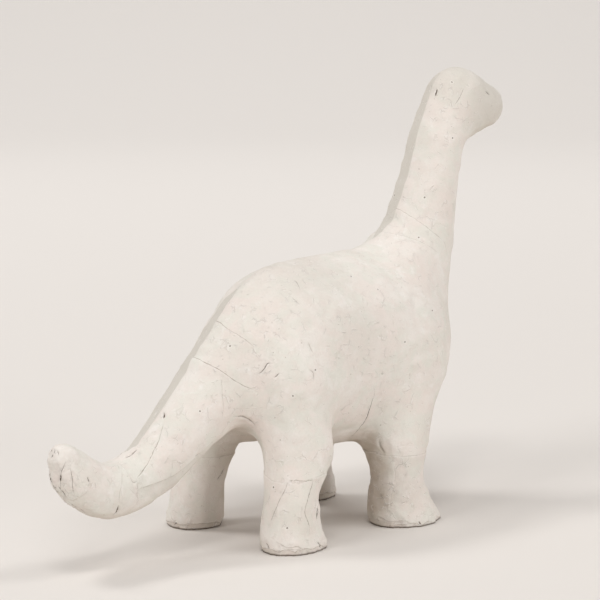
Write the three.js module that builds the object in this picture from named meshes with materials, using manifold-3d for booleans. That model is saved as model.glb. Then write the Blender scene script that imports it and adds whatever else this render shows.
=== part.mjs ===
// A blank papier-mache dinosaur: deep rounded trunk on four stubby legs, long upright neck with a small
// plain head, and a heavy tail that drops behind and turns up at its end. The body is one moulded shell
// of pasted paper strips, so it is one closed solid that stands on four flat soles.
// Millimetres. X runs toward the head, Y toward the animal's left side, Z up from the soles.
import * as THREE from "three";
import { mergeVertices } from "three/addons/utils/BufferGeometryUtils.js";
import Module from "manifold-3d";

const wasm = await Module();
wasm.setup();

// ---------------------------------------------------------------- driving sizes

const paper = { color: 0xe5dcd3, roughness: 0.94, metalness: 0 };

// Two moulded halves meet along the back in a low crest, given as a share of the half-width there.
const crestShare = 0.4;

// Radius over which one form runs into the next.
const blend = { legToTrunk: 24, neckToTrunk: 30, headToNeck: 14 };

// Sections are ellipses across a spine that lies in the middle plane: where the centre is, and the
// half-depth and half-width there.
const tailAndTrunk = [
  { x: -168.5, z: 65.5, deep: 9.5, wide: 8.5 },
  { x: -158.5, z: 53.5, deep: 13.5, wide: 13 },
  { x: -139, z: 44.5, deep: 16, wide: 16 },
  { x: -110, z: 51.5, deep: 16.5, wide: 17 },
  { x: -74.5, z: 79, deep: 20.5, wide: 22 },
  { x: -53, z: 92, deep: 30.5, wide: 26 },
  { x: -13.5, z: 102, deep: 54, wide: 46 },
  { x: 42, z: 101, deep: 53.5, wide: 49.5 },
  { x: 66.5, z: 102.5, deep: 41, wide: 46 },
];
const neck = [
  { x: 77.5, z: 120.5, deep: 47.5, wide: 36 },
  { x: 104, z: 156.5, deep: 26.5, wide: 23.5 },
  { x: 115.5, z: 190.5, deep: 18.5, wide: 19.5 },
  { x: 125, z: 222, deep: 16.5, wide: 18 },
  { x: 139.5, z: 240.5, deep: 20.5, wide: 15.5 },
];
const head = [
  { x: 144, z: 240.5, deep: 20, wide: 16.5 },
  { x: 157, z: 239, deep: 16.5, wide: 17 },
  { x: 164, z: 238.5, deep: 14, wide: 15 },
];

// Legs are round columns: where the centre is at each height, how far out from the middle, the radius.
const hindColumn = [
  { z: 30, x: -36.5, out: 38.5, radius: 15.5 },
  { z: 55, x: -30.5, out: 32, radius: 16.5 },
  { z: 90, x: -25.5, out: 24, radius: 24.5 },
];
const frontColumn = [
  { z: 30, x: 50.5, out: 38, radius: 15.8 },
  { z: 55, x: 53.5, out: 34.5, radius: 20 },
  { z: 90, x: 66.5, out: 25, radius: 24 },
];

// Each foot was shaped by hand, so its ankle and sole are its own: centre, half-length, half-width.
const ankleHeight = 12;
const feet = [
  {
    column: hindColumn,
    side: -1,
    sole: { x: -35, out: 40, long: 22, wide: 17.8 },
    ankle: { x: -36.5, out: 38, long: 19, wide: 16 },
  },
  {
    column: frontColumn,
    side: -1,
    sole: { x: 57.5, out: 39, long: 25, wide: 20 },
    ankle: { x: 54, out: 37.5, long: 21, wide: 17 },
  },
  {
    column: hindColumn,
    side: 1,
    sole: { x: -38, out: 42, long: 18, wide: 17 },
    ankle: { x: -37.5, out: 41, long: 17, wide: 16 },
  },
  {
    column: frontColumn,
    side: 1,
    sole: { x: 59, out: 43.5, long: 19, wide: 15.5 },
    ankle: { x: 55, out: 41, long: 16.5, wide: 15.5 },
  },
];

// The rim of each sole is drawn in a little, over this height above the floor.
const rim = { height: 5, drawnIn: 1.2 };

// The skin is drawn through a grid of cubes of this size, and each spine is cut into straight steps.
const gridStep = 6;
const margin = 0.1 * gridStep;
const stepsPerSpan = 6;
const reach = {
  low: new THREE.Vector3(-195, 0, -3 * gridStep),
  high: new THREE.Vector3(188, 68, 270),
};

// ---------------------------------------------------------------- fields: negative inside, in mm

// Smooth curve through the rows of a table, one named value at a time.
function drawThrough(rows) {
  const keys = Object.keys(rows[0]);
  const before = (key) => 2 * rows[0][key] - rows[1][key];
  const after = (key) => 2 * rows.at(-1)[key] - rows.at(-2)[key];
  const value = (i, key) => rows[i]?.[key] ?? (i < 0 ? before(key) : after(key));
  const drawn = [];
  for (let i = 0; i < rows.length - 1; i++) {
    for (let step = 0; step < stepsPerSpan; step++) {
      const t = step / stepsPerSpan;
      const mixed = keys.map((key) => [
        key,
        catmullRom(t, value(i - 1, key), value(i, key), value(i + 1, key), value(i + 2, key)),
      ]);
      drawn.push(Object.fromEntries(mixed));
    }
  }
  drawn.push({ ...rows.at(-1) });
  return drawn;
}

function catmullRom(t, a, b, c, d) {
  const bend = 2 * a - 5 * b + 4 * c - d;
  const twist = -a + 3 * b - 3 * c + d;
  return 0.5 * (2 * b + (c - a) * t + bend * t * t + twist * t ** 3);
}

// Distance to a run of elliptical sections along a spine with rounded ends, and the crest on its upper side.
function sweptField(rows, crest) {
  const spine = drawThrough(rows);
  return (p) => {
    let nearest = Infinity;
    let up;
    let past;
    let deep;
    let wide;
    for (let i = 0; i < spine.length - 1; i++) {
      const a = spine[i];
      const b = spine[i + 1];
      const dx = b.x - a.x;
      const dz = b.z - a.z;
      const length = Math.hypot(dx, dz);
      const along = ((p.x - a.x) * dx + (p.z - a.z) * dz) / length ** 2;
      const t = THREE.MathUtils.clamp(along, 0, 1);
      const ex = p.x - a.x - t * dx;
      const ez = p.z - a.z - t * dz;
      const distance = Math.hypot(ex, ez);
      if (distance < nearest) {
        nearest = distance;
        up = (dx * ez - dz * ex) / length;
        past = Math.abs(along - t) * length;
        deep = THREE.MathUtils.lerp(a.deep, b.deep, t);
        wide = THREE.MathUtils.lerp(a.wide, b.wide, t);
      }
    }
    const offset = crest * wide * THREE.MathUtils.clamp(up / deep, 0, 1);
    const fullWide = wide + offset;
    const fullDeep = deep / Math.sqrt(1 - (offset / fullWide) ** 2);
    const across = (Math.abs(p.y) + offset) / fullWide;
    return (Math.hypot(up / fullDeep, past / deep, across) - 1) * Math.min(deep, wide);
  };
}

// Distance to a column whose round sections are stacked from the sole up to its domed top.
function columnField({ column, side, sole, ankle }) {
  const rows = [
    { z: 0, x: sole.x, out: sole.out, long: sole.long, wide: sole.wide },
    { z: ankleHeight, x: ankle.x, out: ankle.out, long: ankle.long, wide: ankle.wide },
    ...column.map(({ z, x, out, radius }) => ({ z, x, out, long: radius, wide: radius })),
  ];
  const levels = drawThrough(rows);
  const top = rows.at(-1).z;
  return (p) => {
    const height = THREE.MathUtils.clamp(p.z, 0, top);
    const above = levels.findIndex((level) => level.z >= height);
    const a = levels[Math.max(above - 1, 0)];
    const b = levels[Math.max(above, 1)];
    const t = (height - a.z) / (b.z - a.z);
    const mix = (key) => THREE.MathUtils.lerp(a[key], b[key], t);
    const inset = rim.drawnIn * (Math.max(rim.height - p.z, 0) / rim.height) ** 2;
    const long = mix("long") - inset;
    const wide = mix("wide") - inset;
    const small = Math.min(long, wide);
    const over = Math.max(p.z - top, 0) / small;
    const round = Math.hypot((p.x - mix("x")) / long, (p.y - side * mix("out")) / wide, over);
    return (round - 1) * small;
  };
}

// Union of two fields with a fillet of the given size where they meet.
function blended(a, b, size) {
  const overlap = Math.max(size - Math.abs(a - b), 0) / size;
  return Math.min(a, b) - (overlap ** 3 * size) / 6;
}

const trunkField = sweptField(tailAndTrunk, crestShare);
const neckField = sweptField(neck, crestShare);
const headField = sweptField(head, 0);
const legFields = feet.map(columnField);

function bodyField(p) {
  const neckAndHead = blended(neckField(p), headField(p), blend.headToNeck);
  const upper = blended(trunkField(p), neckAndHead, blend.neckToTrunk);
  return legFields.reduce((sum, leg) => blended(sum, leg(p), blend.legToTrunk), upper);
}

// ---------------------------------------------------------------- skin: where the field is nought

// Grid points straddle the middle plane, so one row of skin points runs exactly along the crest.
function gridAxes() {
  const line = (from, to) => {
    const count = Math.ceil((to - from) / gridStep) + 1;
    return Array.from({ length: count }, (_, i) => from + i * gridStep);
  };
  const halfRows = Math.ceil(reach.high.y / gridStep);
  const edge = (halfRows - 0.5) * gridStep;
  return [line(reach.low.x, reach.high.x), line(-edge, edge), line(reach.low.z, reach.high.z)];
}

// Moves a point onto the skin along the steepest way, but keeps it inside its own grid cube, so that
// two points never fall together.
function settle(p, cube) {
  const probe = 0.05;
  const rounds = 4;
  for (let round = 0; round < rounds; round++) {
    const slope = new THREE.Vector3();
    for (const axis of ["x", "y", "z"]) {
      const ahead = p.clone();
      const behind = p.clone();
      ahead[axis] += probe;
      behind[axis] -= probe;
      slope[axis] = (bodyField(ahead) - bodyField(behind)) / (2 * probe);
    }
    p.addScaledVector(slope, -bodyField(p) / Math.max(slope.lengthSq(), 0.2));
    p.clamp(cube.min, cube.max);
  }
  return p;
}

// One skin point for each grid cube that the skin passes through, joined into quads across its edges.
function drawSkin() {
  const axes = gridAxes();
  const [nx, ny, nz] = axes.map((axis) => axis.length);
  const index = (i, j, k) => (k * ny + j) * nx + i;
  const field = new Float32Array(nx * ny * nz);
  const at = new THREE.Vector3();
  for (let k = 0; k < nz; k++) {
    for (let j = 0; j < ny; j++) {
      for (let i = 0; i < nx; i++) {
        at.set(axes[0][i], axes[1][j], axes[2][k]);
        // The grid is closed below the floor, and the part of the skin down there is cut off afterwards.
        field[index(i, j, k)] = k < 2 ? gridStep : bodyField(at);
      }
    }
  }

  const corners = [0, 1].flatMap((c) => [0, 1].flatMap((b) => [0, 1].map((a) => [a, b, c])));
  const edges = corners.flatMap((from) =>
    [0, 1, 2].filter((axis) => !from[axis]).map((axis) => [from, from.map((v, n) => (n === axis ? 1 : v))]),
  );
  const pointOf = new Map();
  const points = [];
  for (let k = 0; k < nz - 1; k++) {
    for (let j = 0; j < ny - 1; j++) {
      for (let i = 0; i < nx - 1; i++) {
        const sum = new THREE.Vector3();
        let crossings = 0;
        for (const [from, to] of edges) {
          const a = field[index(i + from[0], j + from[1], k + from[2])];
          const b = field[index(i + to[0], j + to[1], k + to[2])];
          if (a < 0 === b < 0) continue;
          const t = a / (a - b);
          const [x, y, z] = from.map((v, n) => v + t * (to[n] - v));
          sum.add(at.set(x, y, z));
          crossings++;
        }
        if (!crossings) continue;
        const corner = new THREE.Vector3(axes[0][i], axes[1][j], axes[2][k]);
        const cube = new THREE.Box3(corner, corner.clone().addScalar(gridStep)).expandByScalar(-margin);
        sum.multiplyScalar(gridStep / crossings).add(corner);
        pointOf.set(index(i, j, k), points.length);
        points.push(sum.z > -gridStep ? settle(sum, cube) : sum);
      }
    }
  }

  const triangles = [];
  const addQuad = (quad, flip) => {
    const [a, b, c, d] = flip ? quad.reverse() : quad;
    const span = (m, n) => points[m].distanceTo(points[n]);
    if (span(a, c) <= span(b, d)) triangles.push(a, b, c, a, c, d);
    else triangles.push(a, b, d, b, c, d);
  };
  const steps = [
    [1, 0, 0],
    [0, 1, 0],
    [0, 0, 1],
  ];
  for (let k = 1; k < nz - 1; k++) {
    for (let j = 1; j < ny - 1; j++) {
      for (let i = 1; i < nx - 1; i++) {
        for (let axis = 0; axis < 3; axis++) {
          const [di, dj, dk] = steps[axis];
          const insideHere = field[index(i, j, k)] < 0;
          const insideNext = field[index(i + di, j + dj, k + dk)] < 0;
          if (insideHere === insideNext) continue;
          const [u, v] = [steps[(axis + 1) % 3], steps[(axis + 2) % 3]];
          const cube = (m, n) =>
            pointOf.get(index(i - m * u[0] - n * v[0], j - m * u[1] - n * v[1], k - m * u[2] - n * v[2]));
          addQuad([cube(0, 0), cube(1, 0), cube(1, 1), cube(0, 1)], !insideHere);
        }
      }
    }
  }
  const skin = new THREE.BufferGeometry();
  skin.setAttribute("position", new THREE.Float32BufferAttribute(points.flatMap((p) => p.toArray()), 3));
  skin.setIndex(triangles);
  return skin;
}

// ---------------------------------------------------------------- solids

function solidOf(geometry) {
  const bare = geometry.clone();
  bare.deleteAttribute("normal");
  bare.deleteAttribute("uv");
  const merged = mergeVertices(bare, 1e-4);
  return new wasm.Manifold(
    new wasm.Mesh({
      numProp: 3,
      vertProperties: merged.attributes.position.array,
      triVerts: new Uint32Array(merged.index.array),
    }),
  );
}

function geometryOf(solid) {
  const { vertProperties, triVerts } = solid.getMesh();
  const geometry = new THREE.BufferGeometry();
  geometry.setAttribute("position", new THREE.BufferAttribute(vertProperties, 3));
  geometry.setIndex(new THREE.BufferAttribute(triVerts, 1));
  geometry.computeVertexNormals();
  return geometry;
}

// Everything below the floor is cut off, which leaves the four soles flat.
function cutSoles(skin) {
  const depth = 4 * gridStep;
  const ground = new THREE.BoxGeometry(500, 200, depth);
  ground.translate(0, 0, -depth / 2);
  return solidOf(skin).subtract(solidOf(ground));
}

// The origin is on the floor under the middle of the whole length and width.
function centreOverFloor(geometry) {
  geometry.computeBoundingBox();
  const middle = geometry.boundingBox.getCenter(new THREE.Vector3());
  geometry.translate(-middle.x, -middle.y, 0);
  return geometry;
}

const dinosaur = new THREE.Mesh(
  centreOverFloor(geometryOf(cutSoles(drawSkin()))),
  new THREE.MeshStandardMaterial(paper),
);
dinosaur.name = "dinosaur";

const model = new THREE.Group();
model.add(dinosaur);
export default model;
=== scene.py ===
import math

import bmesh
import bpy
import numpy as np
from mathutils import Euler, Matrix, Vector
from mathutils.bvhtree import BVHTree
from mathutils.kdtree import KDTree


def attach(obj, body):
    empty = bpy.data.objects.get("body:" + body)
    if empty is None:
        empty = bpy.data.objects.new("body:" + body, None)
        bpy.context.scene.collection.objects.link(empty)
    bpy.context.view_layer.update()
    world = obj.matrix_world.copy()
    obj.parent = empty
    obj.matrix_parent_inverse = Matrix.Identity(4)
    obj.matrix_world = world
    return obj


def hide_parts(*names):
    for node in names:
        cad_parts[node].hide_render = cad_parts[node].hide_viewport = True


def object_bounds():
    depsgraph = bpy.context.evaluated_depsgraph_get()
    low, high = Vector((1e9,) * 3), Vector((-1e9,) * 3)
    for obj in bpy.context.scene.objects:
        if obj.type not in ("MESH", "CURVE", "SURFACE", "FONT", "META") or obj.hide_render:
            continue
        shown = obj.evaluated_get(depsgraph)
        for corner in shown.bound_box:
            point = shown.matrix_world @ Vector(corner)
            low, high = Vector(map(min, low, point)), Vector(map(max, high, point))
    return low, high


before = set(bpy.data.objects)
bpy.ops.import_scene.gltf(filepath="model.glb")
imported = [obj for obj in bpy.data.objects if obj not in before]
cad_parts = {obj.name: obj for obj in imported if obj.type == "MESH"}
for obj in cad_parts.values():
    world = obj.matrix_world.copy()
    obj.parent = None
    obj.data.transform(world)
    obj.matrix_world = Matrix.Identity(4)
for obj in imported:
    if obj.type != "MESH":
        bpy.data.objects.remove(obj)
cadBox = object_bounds()
mm = 0.001  # presses and marks are placed in millimetres, in the model's own frame


# A node's output. On it a + b, 1 - mask and so on add their Math nodes by themselves.
class Wire:
    def __init__(self, tree, socket):
        self.tree = tree
        self.socket = socket

    def other(self, name):  # another output of the same node
        return Wire(self.tree, self.socket.node.outputs[name])

    def __add__(self, other): return maths("ADD", self, other)
    def __radd__(self, other): return maths("ADD", other, self)
    def __sub__(self, other): return maths("SUBTRACT", self, other)
    def __rsub__(self, other): return maths("SUBTRACT", other, self)
    def __mul__(self, other): return maths("MULTIPLY", self, other)
    def __rmul__(self, other): return maths("MULTIPLY", other, self)
    def __truediv__(self, other): return maths("DIVIDE", self, other)
    def __rtruediv__(self, other): return maths("DIVIDE", other, self)
    def __neg__(self): return maths("MULTIPLY", self, -1.0)
    def __abs__(self): return maths("ABSOLUTE", self)


def maths(operation, *values):
    tree = next(value.tree for value in values if isinstance(value, Wire))
    added = tree.nodes.new("ShaderNodeMath")
    added.operation = operation
    for entry, value in zip(added.inputs, values):
        plug(tree, entry, value)
    return Wire(tree, added.outputs[0])


def plug(tree, entry, value):
    if isinstance(value, Wire):
        tree.links.new(value.socket, entry)
    elif isinstance(value, list):  # an entry that takes several links
        for wire in value:
            tree.links.new(wire.socket, entry)
    else:
        entry.default_value = value


# Any other node: its kind, its settings first, then the values or links of its sockets by name or number.
class Sheet:
    def __init__(self, tree):
        self.tree = tree

    def node(self, kind, settings=None, sockets=None, out=0):
        added = self.tree.nodes.new(kind)
        for name, value in (settings or {}).items():
            setattr(added, name, value)
        for name, value in (sockets or {}).items():
            plug(self.tree, added.inputs[name], value)
        return Wire(self.tree, added.outputs[out]) if added.outputs else None

    # a smooth step: 0 below low, 1 above high
    def step(self, value, low, high):
        settings = {"interpolation_type": "SMOOTHSTEP"}
        return self.node("ShaderNodeMapRange", settings, {"Value": value, "From Min": low, "From Max": high})

    # noise whose features are about size metres across, from 0 to 1, or as a colour
    def noise(self, place, size, detail=2.0, roughness=0.5, distortion=0.0, out=0):
        sockets = {"Vector": place, "Scale": 1.0 / size, "Detail": detail}
        sockets.update({"Roughness": roughness, "Distortion": distortion})
        return self.node("ShaderNodeTexNoise", {}, sockets, out)

    def mixColour(self, share, first, second, blend="MIX"):
        settings = {"data_type": "RGBA", "blend_type": blend, "clamp_factor": True}
        return self.node("ShaderNodeMix", settings, {0: share, 6: first, 7: second}, out=2)

    def vector(self, operation, sockets):
        return self.node("ShaderNodeVectorMath", {"operation": operation}, sockets)

    def heightOf(self, vector):
        return self.node("ShaderNodeSeparateXYZ", {}, {0: vector}, out=2)


def linkToScene(piece):
    bpy.context.scene.collection.objects.link(piece)
    return piece


# The evaluated piece as a plain mesh, with no modifier left on it.
def bakeModifiers(piece):
    evaluated = piece.evaluated_get(bpy.context.evaluated_depsgraph_get())
    plain = bpy.data.meshes.new_from_object(evaluated)
    piece.modifiers.clear()
    piece.data = plain


def coordsOf(mesh):
    flat = np.empty(len(mesh.vertices) * 3, np.float32)
    mesh.vertices.foreach_get("co", flat)
    return flat.reshape(-1, 3)


def setCoords(mesh, points):
    mesh.vertices.foreach_set("co", np.ascontiguousarray(points, np.float32).ravel())
    mesh.update()


def writeNumbers(mesh, name, data):
    layer = mesh.attributes.new(name, "FLOAT", "POINT")
    layer.data.foreach_set("value", np.ascontiguousarray(data, np.float32))


def treeOf(places):
    tree = KDTree(len(places))
    for n, place in enumerate(places):
        tree.insert(place, n)
    tree.balance()
    return tree


# How far a number is along the way from low to high, kept between 0 and 1.
def partWay(value, low, high):
    return min(max((value - low) / (high - low), 0), 1)


# The skin: a smooth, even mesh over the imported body.
skin = {
    "name": "paperShell",
    "mergeWithin": 0.01 * mm,   # corners closer than this are one
    "joinWithin": 0.6,          # radians between triangles that become one face
    "rimAngle": 35,             # degrees at which an edge on the floor is the rim of a sole
    "rimCrease": 1.0,           # how sharp the rims of the soles stay
    "levels": 2,                # of rounding
    "fitPasses": 3,             # passes that bring the rounded skin back on to the body
    "evenEdge": 1.5 * mm,       # spacing of the even mesh
    "heldBelow": 5 * mm,        # the skin lies on the body up to here
    "freeAbove": 9 * mm,        # and is free of it from here
    "floorSnap": 0.5 * mm,      # what is lower than this lies flat on the floor
}

# Where the shell is fuller or leaner than the plain body: middle, reach and move, in mm.
presses = [
    ((-24, -46, 55), 28, (5.6, -5.4, 0)),       # fronts of the hind legs
    ((-24, 46, 55), 28, (5.6, 5.4, 0)),
    ((-157, -3, 66), 11, (0.4, -0.3, 1.5)),     # tail's tip
    ((-172, 1, 75), 7, (-0.3, 0.2, 0.3)),
    ((-178, 0, 65), 10, (1.6, -1.1, 0)),
    ((-173, 3, 50), 12, (-1.1, 1.0, 0)),
    ((-42, 24, 128), 26, (1.9, -1.9, -0.6)),    # left of the rump
    ((-49, 31, 108), 22, (1.4, -1.4, 0)),
    ((-36, 12, 143), 16, (0.6, -0.6, -1.1)),    # back
    ((-26, 10, 149), 15, (0.2, -0.3, -1.1)),
    ((0, 5, 157), 22, (0, 0, -0.8)),
    ((74, 10, 162), 15, (0.3, -0.3, -1.6)),     # base of the neck
    ((-27, 9, 56), 14, (0, 0, -3.4)),           # between the legs
    ((-27, -9, 56), 14, (0, 0, -1.6)),
    ((20, -23, 52), 18, (0, 0, -1.4)),
    ((20, 23, 52), 18, (0, 0, -1.2)),
    ((-34, 16, 48), 12, (-0.9, 0.9, 0)),
    ((80, -45, 85), 18, (0.8, -0.8, 0)),        # chest
    ((80, 45, 85), 18, (0.8, 0.8, 0)),
]


def pressSkin(mesh):
    points = coordsOf(mesh)
    for middle, reach, move in presses:
        away = np.linalg.norm(points / mm - middle, axis=1) / reach
        share = np.clip(1 - away, 0, 1)
        share = share * share * (3 - 2 * share)
        points = points + share[:, None] * np.array(move) * mm
    setCoords(mesh, points)


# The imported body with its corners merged, its flat places joined and the rims of its soles creased.
def copyBody():
    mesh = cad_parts["dinosaur"].data.copy()
    mesh.materials.clear()
    work = bmesh.new()
    work.from_mesh(mesh)
    bmesh.ops.remove_doubles(work, verts=work.verts, dist=skin["mergeWithin"])
    bmesh.ops.join_triangles(
        work, faces=work.faces, angle_face_threshold=skin["joinWithin"], angle_shape_threshold=math.pi
    )
    crease = work.edges.layers.float.new("crease_edge")
    for edge in work.edges:
        onFloor = all(end.co.z < 0.05 * mm for end in edge.verts)
        if onFloor and edge.calc_face_angle(0) > math.radians(skin["rimAngle"]):
            edge[crease] = skin["rimCrease"]
    work.to_mesh(mesh)
    work.free()
    return mesh


def makeSkin():
    mesh = copyBody()
    piece = linkToScene(bpy.data.objects.new(skin["name"], mesh))
    rounded = piece.modifiers.new("rounded", "SUBSURF")
    rounded.levels = rounded.render_levels = skin["levels"]
    body = coordsOf(mesh)
    cage = body.copy()
    for _ in range(skin["fitPasses"]):  # rounding pulls the skin in, so its cage is moved out by as much
        evaluated = piece.evaluated_get(bpy.context.evaluated_depsgraph_get())
        cage += body - coordsOf(evaluated.data)[: len(body)]
        setCoords(mesh, cage)
    even = piece.modifiers.new("even", "REMESH")
    even.mode = "VOXEL"
    even.voxel_size = skin["evenEdge"]
    bakeModifiers(piece)
    pressSkin(piece.data)
    surface = BVHTree.FromPolygons([Vector(p) for p in body], [face.vertices for face in mesh.polygons])
    for vertex in piece.data.vertices:
        hold = 1 - partWay(vertex.co.z, skin["heldBelow"], skin["freeAbove"])
        if hold:
            vertex.co = vertex.co.lerp(surface.find_nearest(vertex.co)[0], hold)
        if vertex.co.z < skin["floorSnap"]:
            vertex.co.z = 0
    print("skin:", len(piece.data.polygons), "even faces")
    return piece


# The ridge where the moulded halves meet, with a flat strip pasted down its left side. All in mm.
ridge = {
    "line": [               # along the animal and up, from the tail to the crown
        (-167, 75), (-160, 70.5), (-149, 63.5), (-141, 59.5), (-131, 61), (-119, 65), (-110, 71.5),
        (-95, 87), (-80, 101.5), (-66, 118.5), (-51, 134), (-42, 142.5), (-32, 149.5), (-22, 154),
        (-5, 157.5), (18, 158.5), (42, 159), (55, 159), (65, 161.5), (72, 165), (84, 171.5), (89, 178),
        (95, 190), (103, 208), (111, 230), (121, 250), (127, 258.5), (133, 261.5),
    ],
    "middle": 0.6,          # from the middle plane to the ridge
    "stripWidths": [        # place along the animal, width of the strip there
        (-126, 0), (-118, 9), (-90, 12), (-75, 17), (-60, 20), (-45, 19), (-36, 0), (66, 0), (80, 9),
        (92, 15), (104, 14), (122, 12), (131, 0),
    ],
    "least": 2,             # a narrower strip isn't laid
    "fullFrom": 8,          # and only one wider than this is laid quite flat
    "bulge": 0.25,          # how far the strip stands up along its middle
    "flatTo": 0.78,         # share of its width up to which it is flat
    "curvedFrom": 1.08,     # and from which the skin is free again
    "rayHeight": 30,        # a ray comes down from here on to the strip's lower edge
    "reach": 22,            # how far from the ridge the skin is touched
    "sharpAcross": 0.4,     # points this near the ridge, across it and in all, are drawn on to it
    "sharpWithin": 0.9,
    "tintReach": 25,        # how far from the ridge the strip's painted shade may lie
}


# The ridge as rows of (place, the strip's lower edge, the way up, the strip's width).
def layRidge(surface):
    line = layLine([(x, ridge["middle"], z) for x, z in ridge["line"]], surface)
    places = [place for place, _ in line]
    reaches, widths = zip(*ridge["stripWidths"])
    left = Vector((0, 1, 0))
    rows = []
    for n, place in enumerate(places):
        along = (places[min(n + 2, len(places) - 1)] - places[max(n - 2, 0)]).normalized()
        up = left.cross(along).normalized()
        if up.z < 0.3 * up.x:  # the outer way is up, or to the rear where the line is steep
            up = -up
        wide = float(np.interp(place.x / mm, reaches, widths)) * mm
        above = place + left * max(wide, mm) + up * ridge["rayHeight"] * mm
        foot = surface.ray_cast(above, -up)[0]
        rows.append((place, foot or place + left * mm, up, wide))
    return rows


# Lays the skin flat from the ridge to the strip's lower edge, and draws the ridge itself sharp.
def flattenStrip(mesh, rows):
    tree = treeOf([row[0] for row in rows])
    start, end = (ridge["stripWidths"][n][0] * mm for n in (0, -1))
    for vertex in mesh.vertices:
        place, n, distance = tree.find(vertex.co)
        if distance > ridge["reach"] * mm or not start <= place.x <= end:
            continue
        _, foot, up, wide = rows[n]
        offset = vertex.co - place
        if abs(offset.y) < ridge["sharpAcross"] * mm and distance < ridge["sharpWithin"] * mm:
            vertex.co.y = place.y
            continue
        if offset.y < 0 or wide < ridge["least"] * mm:
            continue
        across = (foot - place).normalized()
        outward = (up - across * up.dot(across)).normalized()
        share = offset.dot(across) / (foot - place).length
        bulge = ridge["bulge"] * mm * math.sin(math.pi * min(share, 1))
        hold = 1 - partWay(share, ridge["flatTo"], ridge["curvedFrom"])
        hold *= min(wide / (ridge["fullFrom"] * mm), 1)
        vertex.co -= outward * (offset.dot(outward) - bulge) * hold
    mesh.update()


# Marks in the paper: strip edges, cracks, creases and pinholes, each a short line on the skin, in mm.
marking = {
    "seed": 7,
    "spacing": 0.5,         # between the points of a laid line
    "bandRadius": 20,       # of the ring that is laid round a leg
    "bandPoints": 26,
    "backFade": 0.1,        # share of a line's length over which it fades in and out: over the back
    "pairFade": 0.15,       # on both flanks
    "oneFade": 0.12,        # on one flank
    "crackFade": 0.3,
    "twinShift": 4,         # how far a crack's twin may lie from its mirrored place
    "refineWithin": 1.7,    # the mesh is split this near a mark
    "rimHeight": 6,         # and up to this height at the soles
}

# A strip edge stands up on one side of its line: lift in mm, how dark its painted shadow line is, and the
# painted shade past it.
seams = {
    "neckHigh": {
        "lift": 0.35, "dark": 0.55, "bothSides": True,
        "line": [
            (90, 0, 180), (92, -9, 176), (99, -20, 167), (104, -22, 163), (108, -23, 159), (110, -23, 151),
        ],
    },
    "neckLow": {
        "lift": 0.35, "dark": 0.42, "bothSides": True,
        "line": [(77, 0, 167), (80, -8, 166), (85, -16, 164), (92, -21, 160), (102, -25, 153)],
    },
    "rumpHigh": {
        "lift": 0.3, "dark": 0.6, "bothSides": True,
        "line": [(-57, 0, 128), (-57, -8, 125), (-55, -15, 122), (-53, -20, 119), (-51, -25, 115)],
    },
    "rumpLow": {
        "lift": 0.4, "dark": 0.8, "bothSides": True,
        "line": [(-75, 0, 110), (-73, -8, 107), (-70, -16, 104), (-63, -23, 97), (-53, -30, 91)],
    },
    "tailRoot": {
        "lift": 0.2, "dark": 0.25, "bothSides": True,
        "line": [(-71, -18, 100), (-72, -20, 94), (-74, -22, 77)],
    },
    "tailLong": {
        "lift": -0.45, "dark": 0.8,
        "line": [(-103, -6, 77), (-109, -9, 69), (-114, -10, 63), (-122, -13, 57), (-131, -15, 51)],
    },
    # the tail's keel: the underside below it is painted darker, as shade
    "tailKeel": {
        "lift": -0.55, "dark": 0.42, "tone": 0.75, "bothSides": True,
        "line": [
            (-132, -16, 46), (-121, -16, 47), (-108, -17, 49), (-98, -17, 53), (-86, -17, 60),
            (-76, -18, 66),
        ],
    },
    "turnFar": {
        "lift": 0.3, "dark": 0.3, "bothSides": True,
        "line": [(-136, -9, 57), (-140, -14, 52), (-143, -16, 46), (-143, -15, 39)],
    },
    "turnRidge": {"lift": 0.4, "dark": 0.1, "line": [(-135, -4, 59), (-134, -10, 56), (-134, -13, 54)]},
    "turnNear": {
        "lift": 0.35, "dark": 0.3,
        "line": [(-131, -16, 50), (-131, -16, 44), (-131, -15, 38), (-134, -12, 33)],
    },
    "turnCross": {
        "lift": 0.35, "dark": 0.22, "bothSides": True,
        "line": [(-137, -16, 48), (-131, -16, 42), (-126, -12, 34)],
    },
    "patchBack": {
        "lift": -0.35, "dark": 0.85,
        "line": [(-46, -46, 42), (-48, -45, 36), (-52, -43, 28), (-54, -40, 18)],
    },
    "patchFront": {
        "lift": 0.35, "dark": 0.9,
        "line": [(-33, -52, 41), (-37, -53, 34), (-41, -54, 25), (-38, -54, 17), (-37, -54, 10)],
    },
    "patchTop": {
        "lift": 0.35, "dark": 0.8,
        "line": [(-46, -46, 42), (-42, -49, 42), (-38, -50, 41), (-33, -52, 41)],
    },
    "tipCross": {"lift": 0.4, "dark": 0.2, "line": [(-162, -13, 50), (-166, -9, 46), (-168, -3, 43)]},
    "heelFlap": {
        "lift": -0.45, "dark": 0.45,
        "line": [(-53, -44, 8), (-50, -50, 5), (-46, -54, 5.5), (-42, -55, 3)],
    },
    "toeFlap": {
        "lift": -0.4, "dark": 0.4,
        "line": [(33, -40, 7), (36, -46, 4), (42, -51, 4.5), (46, -55, 2.5)],
    },
    "kneeFold": {
        "lift": 0.35, "dark": 0.25, "bothSides": True,
        "line": [(37, -47, 42), (38, -49, 32), (36, -48, 20), (35, -47, 9)],
    },
    "footFlap": {
        "lift": 0.5, "dark": 0.3,
        "line": [(-54, 46, 9), (-55, 39, 4), (-53, 33, 3), (-51, 31, 9)],
    },
    "flapHigh": {
        "lift": 0.5, "dark": 0.5,
        "line": [(-130, 2, 61), (-123, 4, 62), (-119, 2, 64), (-117, -3, 65)],
    },
}
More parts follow.
